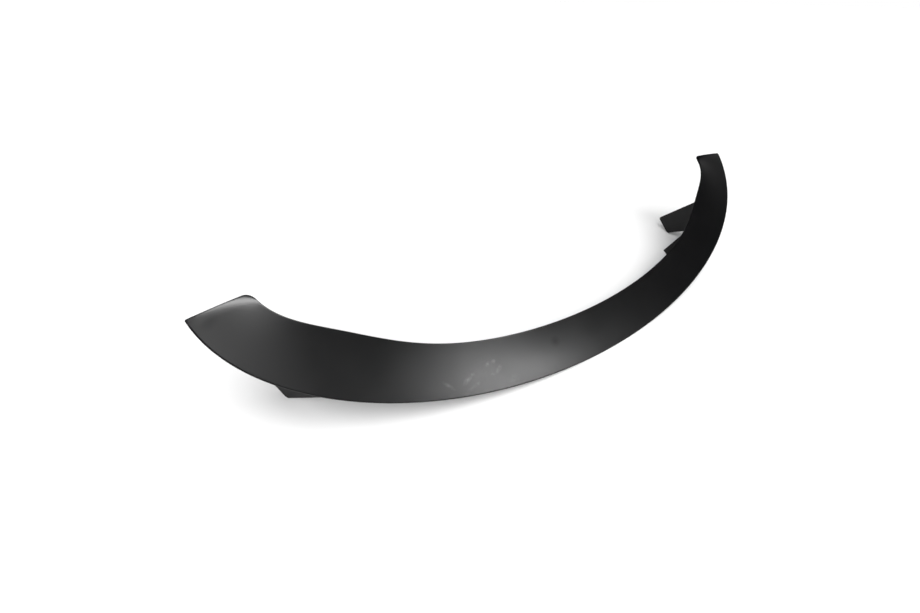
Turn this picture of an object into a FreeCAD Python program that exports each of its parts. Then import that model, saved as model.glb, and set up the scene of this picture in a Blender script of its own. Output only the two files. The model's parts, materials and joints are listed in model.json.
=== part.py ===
"""Front bumper lip: one moulded crescent skin with two mounting tabs and two locating lugs.

The lip stands as it rests on a floor: on the middle of its outer edge and on the feet of its tabs.
X runs across the car, Y rearwards and Z up. Millimetres and degrees.
"""
import FreeCAD, Part
import math
import os
import re
import Sketcher

Vector = FreeCAD.Vector
UP = Vector(0, 0, 1)
NODE = "front_lip"
STATIONS_PER_SIDE = 6
FALL_POWER = 8
NEAR = 0.001

SIZES = {
    "outer_long": 822,       # half axis of the outer edge's ellipse, across the car
    "outer_deep": 399,       # half axis of the outer edge's ellipse, along the skin
    "end_angle": 86,         # where the ellipse is cut off at each end
    "rake": 44,              # slope of the skin as it stands on the floor
    "width_middle": 105,     # width of the skin at the car's centre line
    "width_swell": 16,       # extra width at the shoulders
    "swell_place": 0.61,     # where the shoulders are widest, as a share of the way to an end
    "swell_spread": 0.17,    # how far the shoulders reach along the skin, as a share
    "width_end": 112,        # width of the skin at its ends
    "wall": 5,               # thickness of the moulding
    "camber": 4,             # hollow across the skin
    "edge_break": 1.4,       # bevel that breaks the long edges of the skin
    "end_fall": 12,          # how far the inner corner of each end curls back
    "end_bow": 3,            # how far the middle of each end curls back
    "inner_corner": 16,      # round of the inner corner at each end
    "outer_corner": 3,       # round of the outer corner at each end
    "tab_angle": 49.3,       # where a tab is rooted, as an angle on the ellipse
    "tab_inset": 10,         # from the outer edge to the tab's root
    "tab_splay": 19,         # angle between the tab and the car's long axis, in plan
    "tab_root": 80,          # run of the tab's root under the skin, in plan
    "tab_reach": 204,        # from the root to the tab's foot, in plan
    "tab_foot": 16,          # round of the foot that stands on the floor
    "tab_tip_run": 46,       # from the foot to the tab's upper tip, in plan
    "tab_tip_rise": 17,      # from the foot to the tab's upper tip, upwards
    "tab_tip": 6,            # round of the upper tip
    "tab_wall": 4.5,         # thickness of the tab
    "lug_angle": 33.4,       # where a lug stands, as an angle on the ellipse
    "lug_inset": 7,          # from the inner edge to the lug
    "lug_length": 124,       # length of the lug along the skin
    "lug_depth": 34,         # how far the lug stands behind the skin
    "lug_rake": 7,           # lean of the lug's deep end
    "lug_wall": 4.5,         # thickness of the lug
}
SHEET_NAMES = {alias: f"Sizes.{alias}" for alias in SIZES}
SKIN_TILT = "rotation(vector(1; 0; 0); rake)"


def make_sheet(doc):
    """Put every driving dimension into one spreadsheet cell with its own alias."""
    sheet = doc.addObject("Spreadsheet::Sheet", "Sizes")
    for row, (alias, value) in enumerate(SIZES.items(), start=1):
        cell = f"A{row}"
        sheet.set(cell, str(value))
        sheet.setAlias(cell, alias)
    doc.recompute()


def sized(formula):
    """Turn a formula in plain aliases into one that reads the spreadsheet."""
    return re.sub(r"[a-z_]+", lambda word: SHEET_NAMES.get(word[0], word[0]), formula)


def worked_out(sketch, formula):
    """Value of a formula at the present sizes, to draw a sketch close to its solution."""
    value = sketch.evalExpression(sized(formula))
    return float(getattr(value, "Value", value))


def sketch_point(sketch, across, up):
    """Point of a sketch from its two formulas."""
    return Vector(worked_out(sketch, across), worked_out(sketch, up), 0)


def edge_turn(angle):
    """Formula for the direction of the outer edge at an angle on its ellipse."""
    return f"atan(outer_deep * sin({angle}) / (outer_long * cos({angle})))"


def skin_point(angle, inset):
    """Formulas for a point of the skin's plane, inwards from the outer edge: across and along."""
    turn = edge_turn(angle)
    across = f"(outer_long * sin({angle}) - ({inset}) * sin({turn}))"
    along = f"(outer_deep * (1 - cos({angle})) + ({inset}) * cos({turn}))"
    return across, along


def width_at(share):
    """Formula for the skin's width at a share of the way from the centre to an end."""
    taper = f"(width_end - width_middle) * ({share}) ^ 2"
    shoulder = f"width_swell * exp(-(((({share}) - swell_place) / swell_spread) ^ 2))"
    return f"(width_middle + {taper} + {shoulder})"


def new_sketch(body, name, across, along, depth, turn):
    """Sketch at a point of the skin's plane, a depth behind it, turned with the skin."""
    sketch = body.newObject("Sketcher::SketchObject", name)
    sketch.setExpression("Placement", sized(
        f"placement(vector({across}; {along} * cos(rake) + {depth} * sin(rake);"
        f" {along} * sin(rake) - {depth} * cos(rake)); {SKIN_TILT} * {turn})"))
    return sketch


def bind(sketch, constraint, formula):
    """Add a constraint and bind its value to the spreadsheet."""
    index = sketch.addConstraint(constraint)
    sketch.setExpression(f"Constraints[{index}]", sized(formula))


def fix_point(sketch, geometry, vertex, across, up):
    """Fix a sketch point by its distances from the sketch's origin."""
    point = sketch_point(sketch, across, up)
    if across == "0":
        sketch.addConstraint(Sketcher.Constraint("PointOnObject", geometry, vertex, -2))
    else:
        bind(sketch, Sketcher.Constraint("DistanceX", -1, 1, geometry, vertex, point.x), across)
    bind(sketch, Sketcher.Constraint("DistanceY", -1, 1, geometry, vertex, point.y), up)


def draw_outline(sketch, sides):
    """Closed outline: a side is a line from its start to its end, or an arc by a point between them."""
    for side in sides:
        points = [sketch_point(sketch, *place) for place in side]
        curve = Part.LineSegment(*points) if len(points) == 2 else Part.Arc(*points)
        edge = sketch.addGeometry(curve, False)
        first = 1 if sketch.getPoint(edge, 1).isEqual(points[0], NEAR) else 2
        fix_point(sketch, edge, first, *side[0])
        fix_point(sketch, edge, 3 - first, *side[-1])
        if len(side) == 3:
            mark = sketch.addGeometry(Part.Point(points[1]), True)
            sketch.addConstraint(Sketcher.Constraint("PointOnObject", mark, 1, edge))
            fix_point(sketch, mark, 1, *side[1])


def station_sketch(body, step):
    """Section of the skin at one station, square to its outer edge."""
    share = step / STATIONS_PER_SIDE
    fade = share ** FALL_POWER
    angle = f"(end_angle * {share})"
    datum = "(wall + camber + end_fall + end_bow)"
    turn = f"rotation({edge_turn(angle)} + 90 deg; 0; 90)"
    sketch = new_sketch(body, f"Station{step + STATIONS_PER_SIDE}", *skin_point(angle, "0"), datum, turn)

    width = width_at(abs(share))
    hollow = f"(camber * {1 - fade} + end_bow * {fade})"
    fall = f"end_fall * {fade}"
    inner_front = f"{datum} - {fall}"
    front = [("edge_break", datum),
             (f"{width} / 2", f"{datum} - {hollow}"),
             (f"{width} - edge_break", inner_front)]
    back = [(across, f"{up} - wall") for across, up in reversed(front)]
    inner = [front[-1],
             (width, f"{inner_front} - edge_break"),
             (width, f"{inner_front} - wall + edge_break"),
             back[0]]
    outer = [back[-1],
             ("0", f"{datum} - wall + edge_break"),
             ("0", f"{datum} - edge_break"),
             front[0]]
    draw_outline(sketch, [front, *zip(inner, inner[1:]), back, *zip(outer, outer[1:])])
    return sketch


def make_skin(doc, body):
    """Loft the crescent skin through its stations, from one end to the other."""
    steps = range(-STATIONS_PER_SIDE, STATIONS_PER_SIDE + 1)
    sketches = [station_sketch(body, step) for step in steps]
    doc.recompute()
    skin = body.newObject("PartDesign::AdditiveLoft", "Skin")
    skin.Profile = sketches[0]
    skin.Sections = sketches[1:]
    doc.recompute()


def cut_corner(doc, body, name, inset, turn, radius_name):
    """Cut one corner of the skin's end to a round, through the wall."""
    sketch = new_sketch(body, f"{name}Outline", *skin_point("end_angle", inset), "0", turn)
    radius = worked_out(sketch, radius_name)
    centre = Vector(radius, radius, 0)
    corners = [Vector(0, radius, 0), Vector(-radius, radius, 0), Vector(-radius, -radius, 0),
               Vector(radius, -radius, 0), Vector(radius, 0, 0)]
    quarter = Part.ArcOfCircle(Part.Circle(centre, UP, radius), math.pi, 1.5 * math.pi)
    sketch.addGeometry(quarter, False)
    for start, end in zip(corners, corners[1:]):
        sketch.addGeometry(Part.LineSegment(start, end), False)
    sketch.addConstraint(Sketcher.Constraint("Coincident", 0, 1, 1, 1))
    for left, right in ((1, 2), (2, 3), (3, 4)):
        sketch.addConstraint(Sketcher.Constraint("Coincident", left, 2, right, 1))
    sketch.addConstraint(Sketcher.Constraint("Coincident", 4, 2, 0, 2))
    for line, direction in ((1, "Horizontal"), (2, "Vertical"), (3, "Horizontal"), (4, "Vertical")):
        sketch.addConstraint(Sketcher.Constraint(direction, line))
    sketch.addConstraint(Sketcher.Constraint("Horizontal", 0, 1, 0, 3))
    sketch.addConstraint(Sketcher.Constraint("Vertical", 0, 2, 0, 3))
    bind(sketch, Sketcher.Constraint("Radius", 0, radius), radius_name)
    fix_point(sketch, 0, 3, radius_name, radius_name)
    bind(sketch, Sketcher.Constraint("DistanceX", 2, 1, -1, 1, radius), radius_name)
    bind(sketch, Sketcher.Constraint("DistanceY", 3, 2, -1, 1, radius), radius_name)
    doc.recompute()
    cut = body.newObject("PartDesign::Pocket", name)
    cut.Profile = sketch
    cut.Type = "ThroughAll"
    cut.Midplane = True
    doc.recompute()
    return cut


def make_plate(doc, body, sketch, name, thickness):
    """Pad an outline to both sides of its own plane."""
    doc.recompute()
    plate = body.newObject("PartDesign::Pad", name)
    plate.Profile = sketch
    plate.Midplane = True
    plate.setExpression("Length", sized(thickness))
    doc.recompute()
    return plate


def touch_point(centre, radius, point, side):
    """Where a line from a point touches a circle, on its left (1) or right (-1)."""
    gap = point - centre
    bearing = math.atan2(gap.y, gap.x) + side * math.acos(radius / gap.Length)
    return centre + Vector(math.cos(bearing), math.sin(bearing), 0) * radius


def left_arc(centre, radius, start, end):
    """Arc round a centre that turns to the left."""
    first = math.atan2(start.y - centre.y, start.x - centre.x)
    last = math.atan2(end.y - centre.y, end.x - centre.x)
    return Part.ArcOfCircle(Part.Circle(centre, UP, radius), first, last)


def make_tab(doc, body):
    """Upright plate that reaches from behind the skin down to its foot on the floor, on one side."""
    across, along = skin_point("tab_angle", "tab_inset")
    floor = "((edge_break - wall) * cos(rake))"
    sketch = body.newObject("Sketcher::SketchObject", "TabOutline")
    sketch.setExpression("Placement", sized(
        f"placement(vector({across}; {along} * cos(rake) + wall / 2 * sin(rake); {floor});"
        f" rotation(90 - tab_splay; 0; 90))"))
    root_low = f"({along} * sin(rake) - wall / 2 * cos(rake) - {floor})"
    root_high = f"{root_low} + tab_root * cos(tab_splay) * tan(rake) - camber / cos(rake)"

    low = sketch_point(sketch, "0", root_low)
    high = sketch_point(sketch, "tab_root", root_high)
    foot = sketch_point(sketch, "tab_reach", "tab_foot")
    tip = sketch_point(sketch, "tab_reach + tab_tip_run", "tab_foot + tab_tip_rise")
    foot_radius = worked_out(sketch, "tab_foot")
    tip_radius = worked_out(sketch, "tab_tip")
    run = tip - foot
    outwards = Vector(run.y, -run.x, 0).normalize()
    low_touch = touch_point(foot, foot_radius, low, 1)
    high_touch = touch_point(tip, tip_radius, high, -1)
    foot_end = foot + outwards * foot_radius
    tip_start = tip + outwards * tip_radius

    sketch.addGeometry(Part.LineSegment(high, low), False)
    sketch.addGeometry(Part.LineSegment(low, low_touch), False)
    sketch.addGeometry(left_arc(foot, foot_radius, low_touch, foot_end), False)
    sketch.addGeometry(Part.LineSegment(foot_end, tip_start), False)
    sketch.addGeometry(left_arc(tip, tip_radius, tip_start, high_touch), False)
    sketch.addGeometry(Part.LineSegment(high_touch, high), False)
    sketch.addConstraint(Sketcher.Constraint("Coincident", 0, 2, 1, 1))
    sketch.addConstraint(Sketcher.Constraint("Coincident", 5, 2, 0, 1))
    for left, right in ((1, 2), (2, 3), (3, 4), (4, 5)):
        sketch.addConstraint(Sketcher.Constraint("Tangent", left, 2, right, 1))
    bind(sketch, Sketcher.Constraint("Radius", 2, foot_radius), "tab_foot")
    bind(sketch, Sketcher.Constraint("Radius", 4, tip_radius), "tab_tip")
    fix_point(sketch, 0, 2, "0", root_low)
    fix_point(sketch, 0, 1, "tab_root", root_high)
    fix_point(sketch, 2, 3, "tab_reach", "tab_foot")
    fix_point(sketch, 4, 3, "tab_reach + tab_tip_run", "tab_foot + tab_tip_rise")
    return make_plate(doc, body, sketch, "Tab", "tab_wall")


def make_lug(doc, body):
    """Sloping flange behind the skin's inner edge, on one side."""
    turn = edge_turn("lug_angle")
    across, along = skin_point("lug_angle", f"{width_at('lug_angle / end_angle')} - lug_inset")
    across = f"({across} - lug_length / 2 * cos({turn}))"
    along = f"({along} - lug_length / 2 * sin({turn}))"
    datum = "(lug_depth + wall)"
    sketch = new_sketch(body, "LugOutline", across, along, datum, f"rotation({turn}; 0; 90)")
    root = f"{datum} - wall / 2"
    corners = (("0", root), ("lug_rake", "wall"), ("lug_length", root))
    points = [sketch_point(sketch, *corner) for corner in corners]
    for start, end in zip((points[-1], *points), points):
        sketch.addGeometry(Part.LineSegment(start, end), False)
    for left, right in ((0, 1), (1, 2), (2, 0)):
        sketch.addConstraint(Sketcher.Constraint("Coincident", left, 2, right, 1))
    for line, corner in enumerate(corners):
        fix_point(sketch, line, 2, *corner)
    return make_plate(doc, body, sketch, "Lug", "lug_wall")


def mirror_side(doc, body, features):
    """Repeat one side's corner cuts, tab and lug on the other side of the car's centre line."""
    planes = {item.Role: item for item in body.Origin.OriginFeatures}
    mirror = body.newObject("PartDesign::Mirrored", "OtherSide")
    mirror.Originals = features
    mirror.MirrorPlane = (planes["YZ_Plane"], [""])
    body.Tip = mirror
    doc.recompute()


def stand_on_floor(doc, body):
    """Put the origin on the floor, under the middle of the lip."""
    box = body.Shape.optimalBoundingBox()
    body.Placement.Base = Vector(0, -box.Center.y, -box.ZMin)
    doc.recompute()


def check(doc, body):
    """Stop if any object of the document failed or the lip is not one sound solid."""
    for item in doc.Objects:
        if "Invalid" in item.State or "Error" in item.State:
            raise RuntimeError(f"{item.Name} failed: {item.getStatusString()}")
    if body.Shape.isNull() or not body.Shape.isValid() or len(body.Shape.Solids) != 1:
        raise RuntimeError("the lip is not one sound solid")


def main():
    doc = FreeCAD.newDocument("FrontLip")
    make_sheet(doc)
    body = doc.addObject("PartDesign::Body", "FrontLip")
    body.Label = NODE
    doc.recompute()
    make_skin(doc, body)
    turn = edge_turn("end_angle")
    inner_cut = cut_corner(
        doc, body, "InnerCorner", "width_end", f"rotation({turn} - 90 deg; 0; 180)", "inner_corner")
    outer_cut = cut_corner(
        doc, body, "OuterCorner", "0", f"rotation({turn} + 90 deg; 0; 0)", "outer_corner")
    tab = make_tab(doc, body)
    lug = make_lug(doc, body)
    mirror_side(doc, body, [inner_cut, outer_cut, tab, lug])
    stand_on_floor(doc, body)
    check(doc, body)
    os.makedirs("parts", exist_ok=True)
    body.Shape.exportStep(f"parts/{NODE}.step")
    box = body.Shape.optimalBoundingBox()
    size = f"{box.XLength:.1f} x {box.YLength:.1f} x {box.ZLength:.1f} mm"
    print(f"{NODE}: {size}, {body.Shape.Volume / 1000:.0f} cm3")


main()
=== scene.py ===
"""Front bumper lip: the moulded skin with its tabs and lugs, on a pale studio floor.

The packed solid stays as the hidden frame, and the lip is rebuilt on the same rule with rounded edges.
Sizes are written in millimetres and degrees, and kept in metres and radians.
"""

import json
import math

import bmesh
import bpy
from mathutils import Matrix, Vector

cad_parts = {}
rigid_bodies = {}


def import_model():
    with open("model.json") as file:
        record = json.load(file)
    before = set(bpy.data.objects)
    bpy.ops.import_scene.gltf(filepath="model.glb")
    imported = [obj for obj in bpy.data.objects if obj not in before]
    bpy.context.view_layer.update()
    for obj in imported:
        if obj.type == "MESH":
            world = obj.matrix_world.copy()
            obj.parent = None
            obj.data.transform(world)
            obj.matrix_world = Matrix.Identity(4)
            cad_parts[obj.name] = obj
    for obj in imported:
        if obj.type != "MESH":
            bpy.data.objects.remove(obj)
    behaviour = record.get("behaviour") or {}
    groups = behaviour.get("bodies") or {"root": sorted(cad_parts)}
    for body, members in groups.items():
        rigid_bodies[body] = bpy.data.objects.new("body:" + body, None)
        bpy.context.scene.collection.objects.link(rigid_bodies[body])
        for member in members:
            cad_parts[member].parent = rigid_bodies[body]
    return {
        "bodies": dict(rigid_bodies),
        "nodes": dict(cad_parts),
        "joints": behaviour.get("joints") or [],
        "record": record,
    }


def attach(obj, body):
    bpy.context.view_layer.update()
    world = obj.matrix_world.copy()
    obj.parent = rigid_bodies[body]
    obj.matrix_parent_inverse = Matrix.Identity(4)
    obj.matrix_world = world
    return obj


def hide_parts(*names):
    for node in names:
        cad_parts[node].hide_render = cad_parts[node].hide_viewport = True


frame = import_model()

bl_info = {
    "name": "Front Bumper Lip",
    "version": (1, 0, 0),
    "blender": (4, 5, 0),
    "location": "View3D > Sidebar > Front Lip",
    "description": "Builds a moulded front bumper lip around its packed frame, with a studio stage",
    "category": "Object",
}

MM = 0.001
IMAGE_WIDTH = 920
SENSOR_WIDTH = 36
FALL_POWER = 8
STATIONS = 200
ROWS = 65
WELD = 0.015 * MM
ARC_STEPS = 10
BEVEL_STEPS = 2
FLOOR_SIDES = 96


def frame_box():
    """Lowest and highest corner of the packed solid."""
    bpy.context.view_layer.update()
    solid = frame["nodes"]["front_lip"]
    corners = [solid.matrix_world @ Vector(corner) for corner in solid.bound_box]
    return Vector(map(min, *corners)), Vector(map(max, *corners))


CAD_LOW, CAD_HIGH = frame_box()


def length(name, description, millimetres):
    """Property for a length."""
    return bpy.props.FloatProperty(
        name=name, description=description, default=millimetres * MM, unit="LENGTH", precision=4)


def angle(name, description, degrees):
    """Property for an angle."""
    return bpy.props.FloatProperty(
        name=name, description=description, default=math.radians(degrees), subtype="ANGLE", unit="ROTATION")


def number(name, description, value):
    """Property for a plain number."""
    return bpy.props.FloatProperty(name=name, description=description, default=value, precision=3)


def colour(name, description, code):
    """Property for an sRGB colour, written as a hex code."""
    return bpy.props.StringProperty(name=name, description=description, default=code)


class LipSizes(bpy.types.PropertyGroup):
    """Sizes of the moulded lip."""

    half_length: length("Half length", "Half axis of the outer edge's ellipse, across the car", 822)
    depth: length("Depth", "Half axis of the outer edge's ellipse, along the skin", 399)
    end_angle: angle("End angle", "Where the ellipse is cut off at each end", 86)
    rake: angle("Rake", "Slope of the skin as it stands on the floor", 44)
    width_middle: length("Width at the middle", "Width of the skin at the car's centre line", 105)
    width_end: length("Width at the ends", "Width of the skin at its ends", 112)
    width_swell: length("Shoulder swell", "Extra width at the shoulders", 16)
    swell_place: number(
        "Shoulder place", "Widest place of the shoulders, as a share of the way to an end", 0.61)
    swell_spread: number("Shoulder spread", "How far the shoulders reach along the skin, as a share", 0.17)
    wall: length("Wall", "Thickness of the moulding", 5)
    camber: length("Camber", "Hollow across the skin", 4)
    end_fall: length("End fall", "How far the inner corner of each end curls back", 12)
    end_bow: length("End bow", "How far the middle of each end curls back", 3)
    inner_corner: length("Inner corner", "Round of the inner corner at each end", 16)
    outer_corner: length("Outer corner", "Round of the outer corner at each end", 3)
    edge_break: length("Edge break", "Bevel of the packed solid's long edges", 1.4)
    clearance: length("Clearance", "Gap between the rounded rim and the floor", 0.15)
    edge_round: length("Edge round", "How far the rounded long edges reach into the skin", 2.2)
    end_round: length("End round", "How far the rounded ends reach into the skin", 19)
    plate_round: length("Plate round", "Round on the edges of the tabs and lugs", 0.8)


class TabSizes(bpy.types.PropertyGroup):
    """Sizes of the two mounting tabs."""

    place: angle("Place", "Where a tab is rooted, as an angle on the ellipse", 49.3)
    inset: length("Inset", "From the outer edge to the tab's root", 10)
    splay: angle("Splay", "Angle between the tab and the car's long axis, in plan", 19)
    root: length("Root", "Run of the tab's root under the skin, in plan", 80)
    reach: length("Reach", "From the root to the tab's foot, in plan", 204)
    foot: length("Foot", "Round of the foot that stands on the floor", 16)
    tip_run: length("Tip run", "From the foot to the tab's upper tip, in plan", 46)
    tip_rise: length("Tip rise", "From the foot to the tab's upper tip, upwards", 17)
    tip: length("Tip", "Round of the upper tip", 6)
    wall: length("Wall", "Thickness of the tab", 4.5)


class LugSizes(bpy.types.PropertyGroup):
    """Sizes of the two locating lugs."""

    place: angle("Place", "Where a lug stands, as an angle on the ellipse", 31.8)
    inset: length("Inset", "From the inner edge to the lug", 7)
    span: length("Span", "Length of the lug along the skin", 161)
    depth: length("Depth", "How far the lug stands behind the skin", 34)
    lean: length("Lean", "From the lug's near end to its deep end, along the skin", 44)
    flare: length("Flare", "How far the lug's deep end stands out past its root, inwards", 9)
    wall: length("Wall", "Thickness of the lug", 4.5)


class LipFinish(bpy.types.PropertyGroup):
    """Colours and gloss of the moulding."""

    plastic: colour("Plastic", "Black of the moulded plastic", "#09090a")
    smudge: colour("Smudge", "Grey of the rubbed marks", "#7d7d7d")
    refraction: number("Refraction", "IOR of the plastic", 1.5)
    roughness: number("Roughness", "Spread of the front's reflections", 0.31)
    back_roughness: number("Back roughness", "Spread of reflections on the back, tabs and lugs", 0.65)
    cloud: length("Cloud", "Size of the soft patches in the gloss", 70)
    gloss_swing: number("Gloss swing", "How far the soft patches change the roughness", 0.02)
    smear: length("Smear", "Size of the breaks in the rubbed marks", 7)
    rubbed_spread: number("Rubbed spread", "Roughness that a rubbed mark adds", 0.15)
    mirror: number("Mirror", "Strength of the plastic's reflections", 0.5)
    dull_loss: number("Dull loss", "Strength that a full dull spot takes off", 0.4)
    back_dullness: number("Back dullness", "How far the back, tabs and lugs count as a dull spot", 0.6)
    grain: length("Grain", "Size of the mould's fine grain", 1.5)
    grain_depth: length("Grain depth", "Height of the grain", 0.2)
    grain_strength: number("Grain strength", "Share of the grain's height that shows", 0.03)


class StageSizes(bpy.types.PropertyGroup):
    """Floor, light and camera."""

    floor: colour("Floor", "Colour of the paper floor", "#f4f4f4")
    floor_roughness: number("Floor roughness", "Spread of the floor's reflections", 0.9)
    floor_radius: length("Floor radius", "Radius of the round floor", 60000)
    overhead: number("Overhead light", "Strength of the wide light above", 4.0)
    overhead_spread: angle("Overhead spread", "How wide the light above looks from the lip", 50)
    overhead_tilt: angle("Overhead tilt", "How far the light above leans to the camera", 40)
    overhead_turn: angle("Overhead turn", "How far that lean is turned to the left end", 30)
    dome: number("Dome light", "Strength of the even light from the whole sky", 0.94)
    soft_box: length("Soft box", "Side of each soft box", 400)
    sheen: number("Sheen", "Share of their full power that the soft boxes give", 1.0)
    heading: angle("Heading", "Camera's turn to the right of the car's long axis", 38.73)
    pitch: angle("Pitch", "How far the camera looks down", 32.12)
    roll: angle("Roll", "Camera's turn about its own axis", 0.73)
    focal: number("Focal length", "Focal length in pixels of the picture's width", 500)


CAMERA_PLACE = Vector((-889, -686.1, 699.5)) * MM

# Soft boxes: name, place, the spot on the skin that mirrors it, both in millimetres, and power in watts.
SOFT_BOXES = (
    ("front_soft_box", (600, -909, 1083), (-335, -138, 36), 6.6),
    ("low_soft_box", (400, -1212, 925), (-370, -78, 93), 2.2),
    ("end_soft_box", (-481, -637, 1651), (-711, 70, 234), 1.7),
    ("corner_soft_box", (-380, 50, 1260), (-764, 97, 266), 8.5),
    ("tip_soft_box", (2105, -199, 997), (721, 83, 246), 0.25),
)

# Marks on the skin: across, along the skin, long side, short side, turn in degrees and strength.
RUBBED_MARKS = (
    (-406, 86, 36, 12, 22, 0.55),
    (-391, 91, 12, 9, 0, 0.45),
    (-388, 70, 12, 8, 10, 0.35),
    (-350, 95, 17, 10, 40, 0.5),
    (-334, 95, 17, 10, 10, 0.45),
    (-330, 77, 30, 11, 26, 0.6),
    (-349, 73, 13, 10, 0, 0.4),
    (-450, 92, 36, 10, -55, 0.3),
    (-405, 68, 48, 10, 12, 0.3),
    (-309, 45, 40, 24, 0, 0.12),
    (-372, 84, 150, 62, 8, 0.1),
)
DULL_SPOTS = (
    (-165, 73, 32, 28, 0, 0.4),
    (-787, 357, 46, 26, 40, 0.25),
)


def linear(code):
    """Linear colour with alpha from an sRGB hex code."""
    shares = [int(code[place:place + 2], 16) / 255 for place in (1, 3, 5)]
    bent = [share / 12.92 if share <= 0.04045 else ((share + 0.055) / 1.055) ** 2.4 for share in shares]
    return (*bent, 1.0)


def add_node(tree, kind, inputs=None, **settings):
    """Add a node with its settings, and fill or link its inputs."""
    node = tree.nodes.new(kind)
    for name, value in settings.items():
        setattr(node, name, value)
    for place, value in (inputs or {}).items():
        if isinstance(value, bpy.types.NodeSocket):
            tree.links.new(value, node.inputs[place])
        else:
            node.inputs[place].default_value = value
    return node


def stand(sizes, across, along, height):
    """Place in the frame of a point of the skin's plane, a height in front of it."""
    sine, cosine = math.sin(sizes.rake), math.cos(sizes.rake)
    setback = CAD_LOW.y - sizes.edge_break * sine
    lift = (sizes.wall - sizes.edge_break) * cosine + sizes.clearance
    return Vector((across, along * cosine - height * sine + setback, along * sine + height * cosine + lift))


def edge_turn(sizes, place):
    """Direction of the outer edge at an angle on its ellipse."""
    return math.atan2(sizes.depth * math.sin(place), sizes.half_length * math.cos(place))


def skin_point(sizes, place, inset):
    """Point of the skin's plane, inwards from the outer edge: across and along."""
    turn = edge_turn(sizes, place)
    across = sizes.half_length * math.sin(place) - inset * math.sin(turn)
    along = sizes.depth * (1 - math.cos(place)) + inset * math.cos(turn)
    return across, along


def width_at(sizes, share):
    """Width of the skin at a share of the way from the centre to an end."""
    taper = (sizes.width_end - sizes.width_middle) * share ** 2
    shoulder = sizes.width_swell * math.exp(-((share - sizes.swell_place) / sizes.swell_spread) ** 2)
    return sizes.width_middle + taper + shoulder


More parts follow.
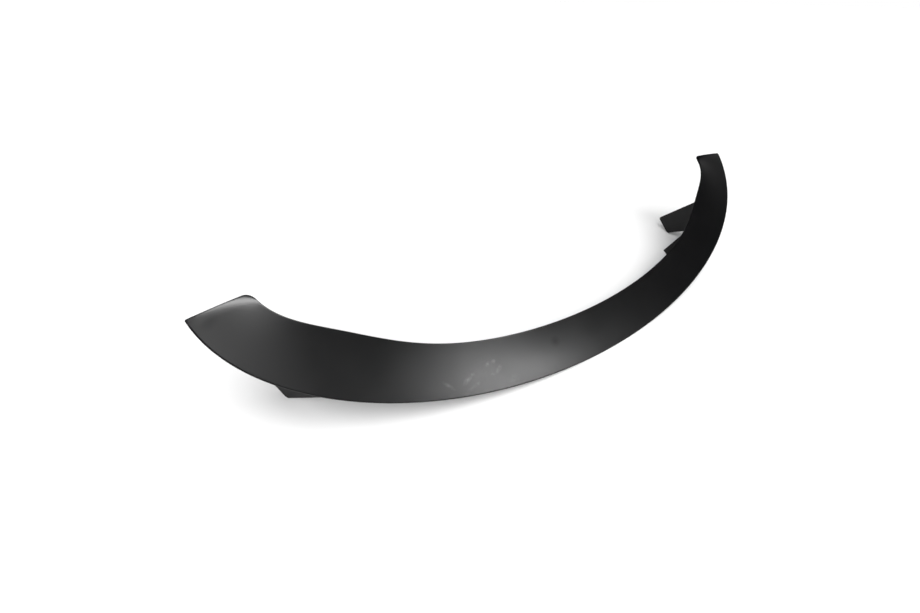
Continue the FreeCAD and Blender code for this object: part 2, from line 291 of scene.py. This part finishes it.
# The skin's rule, one sum a line: its result, the operation and its terms.
# A grid runs from -1 to 1 along the lip and from -0.5 to 0.5 across it, and crowds towards its rims.
SKIN_RULE = (
    ("crowd", "MULTIPLY", "along", math.pi / 2),
    ("station", "SINE", "crowd"),
    ("lean", "MULTIPLY", "across", math.pi),
    ("lean_sine", "SINE", "lean"),
    ("row", "MULTIPLY_ADD", "lean_sine", 0.5, 0.5),
    # Rounds of the two corners at each end, as a setback of the end.
    ("end_out", "MULTIPLY", "row", "Width at the ends"),
    ("end_in", "SUBTRACT", "Width at the ends", "end_out"),
    ("inner_bite", "SUBTRACT", "Inner corner", "end_in"),
    ("inner_gap", "MAXIMUM", "inner_bite", 0.0),
    ("inner_gap_sq", "MULTIPLY", "inner_gap", "inner_gap"),
    ("inner_sq", "MULTIPLY", "Inner corner", "Inner corner"),
    ("inner_left", "SUBTRACT", "inner_sq", "inner_gap_sq"),
    ("inner_root", "SQRT", "inner_left"),
    ("inner_back", "SUBTRACT", "Inner corner", "inner_root"),
    ("outer_bite", "SUBTRACT", "Outer corner", "end_out"),
    ("outer_gap", "MAXIMUM", "outer_bite", 0.0),
    ("outer_gap_sq", "MULTIPLY", "outer_gap", "outer_gap"),
    ("outer_sq", "MULTIPLY", "Outer corner", "Outer corner"),
    ("outer_left", "SUBTRACT", "outer_sq", "outer_gap_sq"),
    ("outer_root", "SQRT", "outer_left"),
    ("outer_back", "SUBTRACT", "Outer corner", "outer_root"),
    ("corner_back", "ADD", "inner_back", "outer_back"),
    ("bend_share", "DIVIDE", "end_out", "End bend"),
    ("bend_left", "SUBTRACT", 1.0, "bend_share"),
    ("pace", "MULTIPLY", "End run", "bend_left"),
    ("setback", "DIVIDE", "corner_back", "pace"),
    ("kept", "SUBTRACT", 1.0, "setback"),
    ("signed_share", "MULTIPLY", "station", "kept"),
    ("share", "ABSOLUTE", "signed_share"),
    # Outer edge and its direction.
    ("place", "MULTIPLY", "signed_share", "End angle"),
    ("place_sine", "SINE", "place"),
    ("place_cosine", "COSINE", "place"),
    ("edge_across", "MULTIPLY", "Half length", "place_sine"),
    ("edge_fore", "MULTIPLY", "Half length", "place_cosine"),
    ("edge_side", "MULTIPLY", "Depth", "place_sine"),
    ("edge_drop", "MULTIPLY", "Depth", "place_cosine"),
    ("edge_along", "SUBTRACT", "Depth", "edge_drop"),
    ("turn", "ARCTAN2", "edge_side", "edge_fore"),
    ("turn_sine", "SINE", "turn"),
    ("turn_cosine", "COSINE", "turn"),
    # Width with its shoulders.
    ("share_sq", "MULTIPLY", "share", "share"),
    ("taper_size", "SUBTRACT", "Width at the ends", "Width at the middle"),
    ("plain_width", "MULTIPLY_ADD", "taper_size", "share_sq", "Width at the middle"),
    ("off_shoulder", "SUBTRACT", "share", "Shoulder place"),
    ("shoulder_share", "DIVIDE", "off_shoulder", "Shoulder spread"),
    ("shoulder_sq", "MULTIPLY", "shoulder_share", "shoulder_share"),
    ("shoulder_fade", "MULTIPLY", "shoulder_sq", -1.0),
    ("shoulder", "EXPONENT", "shoulder_fade"),
    ("width", "MULTIPLY_ADD", "Shoulder swell", "shoulder", "plain_width"),
    ("inset", "MULTIPLY", "row", "width"),
    ("inset_across", "MULTIPLY", "inset", "turn_sine"),
    ("skin_across", "SUBTRACT", "edge_across", "inset_across"),
    ("skin_along", "MULTIPLY_ADD", "inset", "turn_cosine", "edge_along"),
    # Camber, and the curl of the ends.
    ("fade", "POWER", "share", float(FALL_POWER)),
    ("fall", "MULTIPLY", "End fall", "fade"),
    ("bow_size", "SUBTRACT", "End bow", "Camber"),
    ("hollow", "MULTIPLY_ADD", "bow_size", "fade", "Camber"),
    ("half_fall", "MULTIPLY", "fall", 0.5),
    ("sag", "SUBTRACT", "hollow", "half_fall"),
    ("row_left", "SUBTRACT", 1.0, "row"),
    ("row_arch", "MULTIPLY", "row", "row_left"),
    ("arch", "MULTIPLY", "row_arch", 4.0),
    ("sagged", "MULTIPLY", "sag", "arch"),
    ("fallen", "MULTIPLY_ADD", "fall", "row", "sagged"),
    ("half_wall", "MULTIPLY", "Wall", 0.5),
    ("core_depth", "ADD", "fallen", "half_wall"),
    # Half thickness, which runs out in a round at the long rims and in a longer one at the ends.
    ("from_inner", "SUBTRACT", "width", "inset"),
    ("near_long", "MINIMUM", "inset", "from_inner"),
    ("station_size", "ABSOLUTE", "station"),
    ("station_left", "SUBTRACT", 1.0, "station_size"),
    ("from_end", "MULTIPLY", "station_left", "pace"),
    ("end_scale", "DIVIDE", "Edge round", "End round"),
    ("near_end", "MULTIPLY", "from_end", "end_scale"),
    ("near_rim", "MINIMUM", "near_long", "near_end"),
    ("rim_share", "DIVIDE", "near_rim", "Edge round"),
    ("rim_part", "MINIMUM", "rim_share", 1.0),
    ("rim_left", "SUBTRACT", 1.0, "rim_part"),
    ("rim_sq", "MULTIPLY", "rim_left", "rim_left"),
    ("round_sq", "SUBTRACT", 1.0, "rim_sq"),
    ("round", "SQRT", "round_sq"),
    ("half_thickness", "MULTIPLY", "half_wall", "round"),
    ("front_height", "SUBTRACT", "half_thickness", "core_depth"),
    ("sum_depth", "ADD", "half_thickness", "core_depth"),
    ("back_height", "MULTIPLY", "sum_depth", -1.0),
    # Slope of the skin on the floor.
    ("rake_sine", "SINE", "Rake"),
    ("rake_cosine", "COSINE", "Rake"),
    ("plane_y", "MULTIPLY_ADD", "skin_along", "rake_cosine", "Set back"),
    ("plane_z", "MULTIPLY_ADD", "skin_along", "rake_sine", "Lift"),
    ("front_y_off", "MULTIPLY", "front_height", "rake_sine"),
    ("front_y", "SUBTRACT", "plane_y", "front_y_off"),
    ("front_z", "MULTIPLY_ADD", "front_height", "rake_cosine", "plane_z"),
    ("back_y_off", "MULTIPLY", "back_height", "rake_sine"),
    ("back_y", "SUBTRACT", "plane_y", "back_y_off"),
    ("back_z", "MULTIPLY_ADD", "back_height", "rake_cosine", "plane_z"),
)


def skin_inputs(sizes):
    """Named inputs of the skin's node tree, from the sizes."""
    names = ("half_length", "depth", "end_angle", "rake", "width_middle", "width_end", "width_swell",
             "swell_place", "swell_spread", "wall", "camber", "end_fall", "end_bow", "inner_corner",
             "outer_corner", "edge_round", "end_round")
    inputs = {sizes.bl_rna.properties[name].name: getattr(sizes, name) for name in names}
    fore = sizes.half_length * math.cos(sizes.end_angle)
    side = sizes.depth * math.sin(sizes.end_angle)
    pace = math.hypot(fore, side)
    origin = stand(sizes, 0, 0, 0)
    inputs["End run"] = sizes.end_angle * pace
    inputs["End bend"] = pace ** 3 / (sizes.half_length * sizes.depth)
    inputs["Set back"] = origin.y
    inputs["Lift"] = origin.z
    return inputs


def skin_tree(names, material):
    """Node tree that moulds the closed skin from two grids that meet at the rim."""
    tree = bpy.data.node_groups.new("Moulded skin", "GeometryNodeTree")
    tree.is_modifier = True
    for name in names:
        tree.interface.new_socket(name=name, in_out="INPUT", socket_type="NodeSocketFloat")
    tree.interface.new_socket(name="Geometry", in_out="OUTPUT", socket_type="NodeSocketGeometry")
    group = add_node(tree, "NodeGroupInput")
    terms = {name: group.outputs[name] for name in names}
    grid = add_node(tree, "GeometryNodeMeshGrid", {
        "Size X": 2.0, "Size Y": 1.0, "Vertices X": STATIONS, "Vertices Y": ROWS})
    position = add_node(tree, "GeometryNodeInputPosition")
    parts = add_node(tree, "ShaderNodeSeparateXYZ", {0: position.outputs[0]})
    terms["along"], terms["across"] = parts.outputs[0], parts.outputs[1]
    for result, operation, *values in SKIN_RULE:
        inputs = {place: terms.get(value, value) for place, value in enumerate(values)}
        terms[result] = add_node(tree, "ShaderNodeMath", inputs, operation=operation).outputs[0]

    sides = {}
    for side in ("front", "back"):
        place = add_node(tree, "ShaderNodeCombineXYZ", {
            0: terms["skin_across"], 1: terms[f"{side}_y"], 2: terms[f"{side}_z"]})
        sides[side] = add_node(tree, "GeometryNodeSetPosition", {
            "Geometry": grid.outputs["Mesh"], "Position": place.outputs[0]})
    back = add_node(tree, "GeometryNodeFlipFaces", {0: sides["back"].outputs[0]})
    both = add_node(tree, "GeometryNodeJoinGeometry", {0: sides["front"].outputs[0]})
    tree.links.new(back.outputs[0], both.inputs[0])
    welded = add_node(tree, "GeometryNodeMergeByDistance", {"Geometry": both.outputs[0], "Distance": WELD})
    smooth = add_node(tree, "GeometryNodeSetShadeSmooth", {0: welded.outputs[0]})
    real = add_node(tree, "GeometryNodeRealizeInstances", {0: smooth.outputs[0]})
    dressed = add_node(tree, "GeometryNodeSetMaterial", {0: real.outputs[0], "Material": material})
    add_node(tree, "NodeGroupOutput", {0: dressed.outputs[0]})
    return tree


def mould_skin(context, lip, sizes, material):
    """Run the skin's node tree on the lip and keep its result as a plain mesh."""
    inputs = skin_inputs(sizes)
    modifier = lip.modifiers.new("Moulded skin", "NODES")
    modifier.node_group = skin_tree(inputs, material)
    for item in modifier.node_group.interface.items_tree:
        if item.item_type == "SOCKET" and item.in_out == "INPUT":
            modifier[item.identifier] = inputs[item.name]
    context.view_layer.update()
    shown = lip.evaluated_get(context.evaluated_depsgraph_get())
    mesh = bpy.data.meshes.new_from_object(shown)
    mesh.materials.clear()
    mesh.materials.append(material)
    lip.modifiers.remove(modifier)
    lip.data = mesh
    if len(mesh.polygons) < STATIONS * ROWS:
        raise RuntimeError("the skin's node tree made too few faces")


def add_plate(mould, outline, normal, thickness, edge_round):
    """Closed plate with rounded edges, to both sides of its outline."""
    half = normal * (thickness / 2)
    rims = [[mould.verts.new(point + offset) for point in outline] for offset in (half, -half)]
    faces = [mould.faces.new(rims[0]), mould.faces.new(rims[1][::-1])]
    for place in range(len(outline)):
        behind = place - 1
        faces.append(mould.faces.new((rims[0][place], rims[0][behind], rims[1][behind], rims[1][place])))
    bmesh.ops.recalc_face_normals(mould, faces=faces)
    edges = list({edge for face in faces[:2] for edge in face.edges})
    bmesh.ops.bevel(mould, geom=edges, offset=edge_round, segments=BEVEL_STEPS, profile=0.5,
                    affect="EDGES", clamp_overlap=True)


def touch_point(centre, radius, point, side):
    """Where a line from a point touches a circle, on its left (1) or right (-1)."""
    gap = point - centre
    bearing = math.atan2(gap.y, gap.x) + side * math.acos(radius / gap.length)
    return centre + Vector((math.cos(bearing), math.sin(bearing))) * radius


def left_arc(centre, radius, start, end):
    """Points of an arc round a centre that turns to the left."""
    first = math.atan2(start.y - centre.y, start.x - centre.x)
    sweep = (math.atan2(end.y - centre.y, end.x - centre.x) - first) % math.tau
    bearings = [first + sweep * step / ARC_STEPS for step in range(ARC_STEPS + 1)]
    return [centre + Vector((math.cos(bearing), math.sin(bearing))) * radius for bearing in bearings]


def tab_outline(sizes, tabs, floor_to_root):
    """Outline of a tab in its own plane: run from its root, and height above the floor."""
    low = Vector((0, floor_to_root))
    slope = math.cos(tabs.splay) * math.tan(sizes.rake)
    high = Vector((tabs.root, floor_to_root + tabs.root * slope - sizes.camber / math.cos(sizes.rake)))
    foot = Vector((tabs.reach, tabs.foot))
    tip = foot + Vector((tabs.tip_run, tabs.tip_rise))
    run = (tip - foot).normalized()
    outwards = Vector((run.y, -run.x))
    foot_arc = left_arc(foot, tabs.foot, touch_point(foot, tabs.foot, low, 1), foot + outwards * tabs.foot)
    tip_arc = left_arc(tip, tabs.tip, tip + outwards * tabs.tip, touch_point(tip, tabs.tip, high, -1))
    return [high, low, *foot_arc, *tip_arc]


def add_tab(mould, sizes, tabs, side):
    """Upright plate from behind the skin down to its foot on the floor, on one side."""
    across, along = skin_point(sizes, tabs.place, tabs.inset)
    root = stand(sizes, across, along, -sizes.wall / 2)
    way = Vector((math.sin(tabs.splay), math.cos(tabs.splay), 0))
    mirror = Matrix.Diagonal((side, 1, 1))
    outline = [mirror @ (Vector((root.x, root.y, 0)) + way * point.x + Vector((0, 0, point.y)))
               for point in tab_outline(sizes, tabs, root.z)]
    normal = mirror @ Vector((way.y, -way.x, 0))
    add_plate(mould, outline, normal, tabs.wall, sizes.plate_round)


def add_lug(mould, sizes, lugs, side):
    """Sloping flange behind the skin's inner edge, on one side."""
    turn = edge_turn(sizes, lugs.place)
    inset = width_at(sizes, lugs.place / sizes.end_angle) - lugs.inset
    across, along = skin_point(sizes, lugs.place, inset)
    mirror = Matrix.Diagonal((side, 1, 1))
    outline = []
    root = -sizes.wall / 2
    for run, out, height in ((0, 0, root), (lugs.lean, lugs.flare, -lugs.depth), (lugs.span, 0, root)):
        run -= lugs.span / 2
        run_across = run * math.cos(turn) - out * math.sin(turn)
        run_along = run * math.sin(turn) + out * math.cos(turn)
        outline.append(mirror @ stand(sizes, across + run_across, along + run_along, height))
    normal = (outline[1] - outline[0]).cross(outline[2] - outline[0]).normalized()
    add_plate(mould, outline, normal, lugs.wall, sizes.plate_round)


def soft_strokes(tree, place, sizes, strokes):
    """Sum of soft strokes that lie in the skin and fade from their middles."""
    total = 0.0
    for across, along, long_side, short_side, degrees, strength in strokes:
        lie = Matrix.Rotation(sizes.rake, 3, "X") @ Matrix.Rotation(math.radians(degrees), 3, "Z")
        stroke = add_node(tree, "ShaderNodeMapping", {
            "Vector": place,
            "Location": stand(sizes, across * MM, along * MM, -sizes.camber),
            "Rotation": lie.to_euler(),
            "Scale": Vector((long_side, short_side, long_side)) * (MM / 2)}, vector_type="TEXTURE")
        ball = add_node(tree, "ShaderNodeTexGradient", {0: stroke.outputs[0]}, gradient_type="SPHERICAL")
        total = add_node(tree, "ShaderNodeMath", {
            0: ball.outputs["Fac"], 1: strength, 2: total}, operation="MULTIPLY_ADD").outputs[0]
    return total


def moulded_abs(sizes, finish):
    """Moulded ABS, satin: near-black, a broad soft sheen, faint grain and a few handling marks."""
    material = bpy.data.materials.new("Moulded ABS, satin")
    material.use_nodes = True
    tree = material.node_tree
    shader = tree.nodes["Principled BSDF"]
    shader.inputs["IOR"].default_value = finish.refraction
    place = add_node(tree, "ShaderNodeTexCoord").outputs["Object"]

    # Rubbed marks, broken up by a noise of a few millimetres.
    marks = soft_strokes(tree, place, sizes, RUBBED_MARKS)
    broken = add_node(tree, "ShaderNodeTexNoise", {
        "Vector": place, "Scale": 1 / finish.smear, "Detail": 3.0, "Roughness": 0.6})
    smear = add_node(tree, "ShaderNodeMapRange", {
        "Value": broken.outputs["Fac"],
        "From Min": 0.35, "From Max": 0.65, "To Min": 0.15, "To Max": 1.0})
    rubbed = add_node(tree, "ShaderNodeMath", {
        0: marks, 1: smear.outputs[0]}, operation="MULTIPLY", use_clamp=True).outputs[0]
    tint = add_node(tree, "ShaderNodeMix", {
        0: rubbed, 6: linear(finish.plastic), 7: linear(finish.smudge)}, data_type="RGBA")
    tree.links.new(tint.outputs[2], shader.inputs["Base Color"])

    # Gloss: soft patches, and duller where it is rubbed.
    cloud = add_node(tree, "ShaderNodeTexNoise", {
        "Vector": place, "Scale": 1 / finish.cloud, "Detail": 4.0})
    patchy = add_node(tree, "ShaderNodeMapRange", {
        "Value": cloud.outputs["Fac"], "From Min": 0.3, "From Max": 0.7,
        "To Min": finish.roughness - finish.gloss_swing, "To Max": finish.roughness + finish.gloss_swing})
    dulled = add_node(tree, "ShaderNodeMath", {
        0: rubbed, 1: finish.rubbed_spread, 2: patchy.outputs[0]}, operation="MULTIPLY_ADD")

    # Tool side: the back, the tabs and the lugs are duller than the front.
    normal = add_node(tree, "ShaderNodeNewGeometry").outputs["Normal"]
    forwards = stand(sizes, 0, 0, 1) - stand(sizes, 0, 0, 0)
    facing = add_node(tree, "ShaderNodeVectorMath", {0: normal, 1: forwards}, operation="DOT_PRODUCT")
    behind = add_node(tree, "ShaderNodeMapRange", {
        "Value": facing.outputs["Value"], "From Min": 0.6, "From Max": 0.1}).outputs[0]
    spread = add_node(tree, "ShaderNodeMix", {0: behind, 2: dulled.outputs[0], 3: finish.back_roughness})
    tree.links.new(spread.outputs[0], shader.inputs["Roughness"])

    # Dull spots and the tool side mirror less than the front round them.
    spots = soft_strokes(tree, place, sizes, DULL_SPOTS)
    dull = add_node(tree, "ShaderNodeMath", {
        0: behind, 1: finish.back_dullness, 2: spots}, operation="MULTIPLY_ADD")
    mirror = add_node(tree, "ShaderNodeMath", {
        0: dull.outputs[0], 1: -finish.dull_loss, 2: finish.mirror}, operation="MULTIPLY_ADD")
    tree.links.new(mirror.outputs[0], shader.inputs["Specular IOR Level"])

    # Grain: the tool's fine texture, drawn coarser than the real one so that it shows.
    grain = add_node(tree, "ShaderNodeTexNoise", {
        "Vector": place, "Scale": 1 / finish.grain, "Detail": 2.0})
    bump = add_node(tree, "ShaderNodeBump", {
        "Height": grain.outputs["Fac"], "Strength": finish.grain_strength, "Distance": finish.grain_depth})
    tree.links.new(bump.outputs[0], shader.inputs["Normal"])
    return material


def seamless_paper(stage):
    """Seamless paper, matt: an even pale ground that takes soft shadows and no gloss."""
    material = bpy.data.materials.new("Seamless paper, matt")
    material.use_nodes = True
    shader = material.node_tree.nodes["Principled BSDF"]
    shader.inputs["Base Color"].default_value = linear(stage.floor)
    shader.inputs["Roughness"].default_value = stage.floor_roughness
    shader.inputs["Specular IOR Level"].default_value = 0.0
    return material


def lay_floor(context, stage):
    """Round paper floor under the lip."""
    mesh = bpy.data.meshes.new("paper_floor")
    disc = bmesh.new()
    bmesh.ops.create_circle(disc, cap_ends=True, segments=FLOOR_SIDES, radius=stage.floor_radius)
    disc.to_mesh(mesh)
    disc.free()
    mesh.materials.append(seamless_paper(stage))
    floor = bpy.data.objects.new("paper_floor", mesh)
    context.scene.collection.objects.link(floor)


def hang_lights(context, stage):
    """Wide light and dome for the floor, and soft boxes that show only as a sheen on the plastic."""
    wide = (
        ("wide_light", stage.overhead, stage.overhead_spread, stage.overhead_tilt, stage.overhead_turn),
        ("dome_light", stage.dome, math.pi, 0, 0),
    )
    for name, strength, spread, tilt, turn in wide:
        light = bpy.data.lights.new(name, "SUN")
        light.energy = strength
        light.angle = spread
        lamp = bpy.data.objects.new(name, light)
        lamp.rotation_euler = (tilt, 0, -turn)
        lamp.visible_glossy = False
        context.scene.collection.objects.link(lamp)
    for name, place, spot, power in SOFT_BOXES:
        box = bpy.data.lights.new(name, "AREA")
        box.size = stage.soft_box
        box.energy = power * stage.sheen
        lamp = bpy.data.objects.new(name, box)
        lamp.location = Vector(place) * MM
        lamp.rotation_euler = (Vector(spot) - Vector(place)).to_track_quat("-Z", "Y").to_euler()
        lamp.visible_camera = False
        lamp.visible_diffuse = False
        context.scene.collection.objects.link(lamp)


def paint_room(context):
    """White room behind the floor, which gives the lip neither light nor sheen."""
    world = bpy.data.worlds.new("studio_room")
    context.scene.world = world
    world.use_nodes = True
    world.node_tree.nodes["Background"].inputs["Color"].default_value = (1.0, 1.0, 1.0, 1.0)
    world.cycles_visibility.diffuse = False
    world.cycles_visibility.glossy = False


def set_camera(context, stage):
    """Camera at the picture's place and angle."""
    lens = bpy.data.cameras.new("camera")
    lens.sensor_width = SENSOR_WIDTH
    lens.lens = SENSOR_WIDTH * stage.focal / IMAGE_WIDTH
    camera = bpy.data.objects.new("camera", lens)
    camera.location = CAMERA_PLACE
    level = Matrix.Rotation(-stage.heading, 3, "Z") @ Matrix.Rotation(math.pi / 2 - stage.pitch, 3, "X")
    camera.rotation_euler = (level @ Matrix.Rotation(stage.roll, 3, "Z")).to_euler()
    context.scene.collection.objects.link(camera)
    context.scene.camera = camera


class FRONTLIP_OT_mould(bpy.types.Operator):
    """Mould the lip: its skin, two tabs and two lugs in one piece"""

    bl_idname = "front_lip.mould"
    bl_label = "Mould the Lip"

    def execute(self, context):
        scene = context.scene
        sizes = scene.lip_sizes
        material = moulded_abs(sizes, scene.lip_finish)
        lip = bpy.data.objects.new("moulded_lip", bpy.data.meshes.new("moulded_lip"))
        scene.collection.objects.link(lip)
        mould_skin(context, lip, sizes, material)
        mould = bmesh.new()
        mould.from_mesh(lip.data)
        for side in (-1, 1):
            add_tab(mould, sizes, scene.lip_tabs, side)
            add_lug(mould, sizes, scene.lip_lugs, side)
        for face in mould.faces:
            face.material_index = 0
        mould.to_mesh(lip.data)
        mould.free()
        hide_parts("front_lip")
        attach(lip, "root")
        return {"FINISHED"}


class FRONTLIP_OT_stage(bpy.types.Operator):
    """Lay the floor, hang the lights and set the camera"""

    bl_idname = "front_lip.stage"
    bl_label = "Set the Stage"

    def execute(self, context):
        stage = context.scene.lip_stage
        lay_floor(context, stage)
        hang_lights(context, stage)
        paint_room(context)
        set_camera(context, stage)
        context.scene.view_settings.view_transform = "Standard"
        return {"FINISHED"}


class FRONTLIP_PT_panel(bpy.types.Panel):
    """Steps and sizes of the front bumper lip"""

    bl_idname = "FRONTLIP_PT_panel"
    bl_label = "Front Bumper Lip"
    bl_space_type = "VIEW_3D"
    bl_region_type = "UI"
    bl_category = "Front Lip"

    def draw(self, context):
        layout = self.layout
        for operator in OPERATORS:
            layout.operator(operator.bl_idname)
        for store, group in GROUPS.items():
            box = layout.box()
            box.label(text=group.__doc__)
            for name in group.__annotations__:
                box.prop(getattr(context.scene, store), name)


OPERATORS = (FRONTLIP_OT_mould, FRONTLIP_OT_stage)
GROUPS = {
    "lip_sizes": LipSizes,
    "lip_tabs": TabSizes,
    "lip_lugs": LugSizes,
    "lip_finish": LipFinish,
    "lip_stage": StageSizes,
}
CLASSES = (*GROUPS.values(), *OPERATORS, FRONTLIP_PT_panel)


def register():
    """Register the classes and keep their values on the scene."""
    for item in CLASSES:
        bpy.utils.register_class(item)
    for store, group in GROUPS.items():
        setattr(bpy.types.Scene, store, bpy.props.PointerProperty(type=group))


def unregister():
    """Take the values off the scene and unregister the classes."""
    for store in GROUPS:
        delattr(bpy.types.Scene, store)
    for item in reversed(CLASSES):
        bpy.utils.unregister_class(item)


def clear_room():
    """Remove what a new file holds, and keep the frame."""
    kept = {item.name for group in ("nodes", "bodies") for item in frame[group].values()}
    for item in list(bpy.data.objects):
        if item.name not in kept:
            bpy.data.objects.remove(item)


def main():
    """Build the lip and its stage."""
    register()
    clear_room()
    bpy.ops.front_lip.mould()
    bpy.ops.front_lip.stage()


if __name__ == "__main__":
    main()
